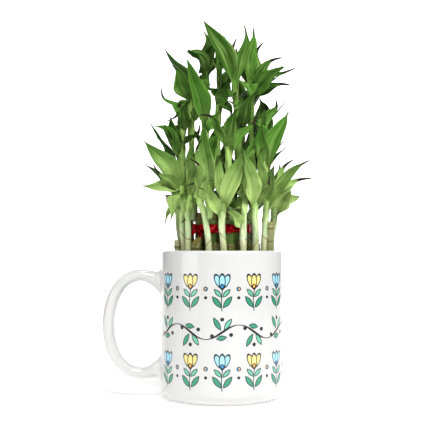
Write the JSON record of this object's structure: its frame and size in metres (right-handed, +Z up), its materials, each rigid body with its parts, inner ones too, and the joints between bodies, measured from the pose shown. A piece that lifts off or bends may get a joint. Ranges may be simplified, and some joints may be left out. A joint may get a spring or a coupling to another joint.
{
  "type": "lucky bamboo in a mug",
  "caption": "Lucky bamboo: cut canes with leafy green shoots, tied with a ribbon and standing in pebbles in a white handled mug.",
  "frame": {"origin": "middle of the underside of the mug, on the surface it stands on", "axes": "+Z up along the canes, +X away from the handle, -Y towards the front of the plant"},
  "size_m": [0.1389, 0.1028, 0.2473],
  "materials": {
    "white_glaze": "glossy white glaze with a printed floral band",
    "pebble": "smooth river pebbles",
    "cane_bark": "smooth olive green cane with ringed joints and pale cut ends",
    "leaf": "waxy green leaves, paler towards the sheathed stems",
    "red_satin": "satin ribbon"
  },
  "bodies": {
    "root": {"mug": "white_glaze", "pebbles": "pebble", "ribbon": "red_satin", "cane_outer_01": "cane_bark", "cane_outer_02": "cane_bark", "cane_outer_03": "cane_bark", "cane_outer_04": "cane_bark", "cane_outer_05": "cane_bark", "cane_outer_06": "cane_bark", "cane_outer_07": "cane_bark", "cane_outer_08": "cane_bark", "cane_outer_09": "cane_bark", "cane_outer_10": "cane_bark", "cane_outer_11": "cane_bark", "cane_outer_12": "cane_bark", "cane_outer_13": "cane_bark", "cane_inner_01": "cane_bark", "cane_inner_02": "cane_bark", "cane_inner_03": "cane_bark", "cane_inner_04": "cane_bark", "cane_inner_05": "cane_bark", "cane_inner_06": "cane_bark", "cane_inner_07": "cane_bark", "cane_inner_08": "cane_bark", "cane_centre_01": "cane_bark", "cane_centre_02": "cane_bark", "shoot_outer_01": "leaf", "shoot_outer_02": "leaf", "shoot_outer_03": "leaf", "shoot_outer_04": "leaf", "shoot_outer_05": "leaf", "shoot_outer_06": "leaf", "shoot_outer_07": "leaf", "shoot_outer_08": "leaf", "shoot_outer_09": "leaf", "shoot_outer_10": "leaf", "shoot_outer_11": "leaf", "shoot_outer_12": "leaf", "shoot_outer_13": "leaf", "shoot_inner_01": "leaf", "shoot_inner_02": "leaf", "shoot_inner_03": "leaf", "shoot_inner_04": "leaf", "shoot_inner_05": "leaf", "shoot_inner_06": "leaf", "shoot_inner_07": "leaf", "shoot_inner_08": "leaf", "shoot_centre_01": "leaf", "shoot_centre_02": "leaf"}
  },
  "joints": []
}
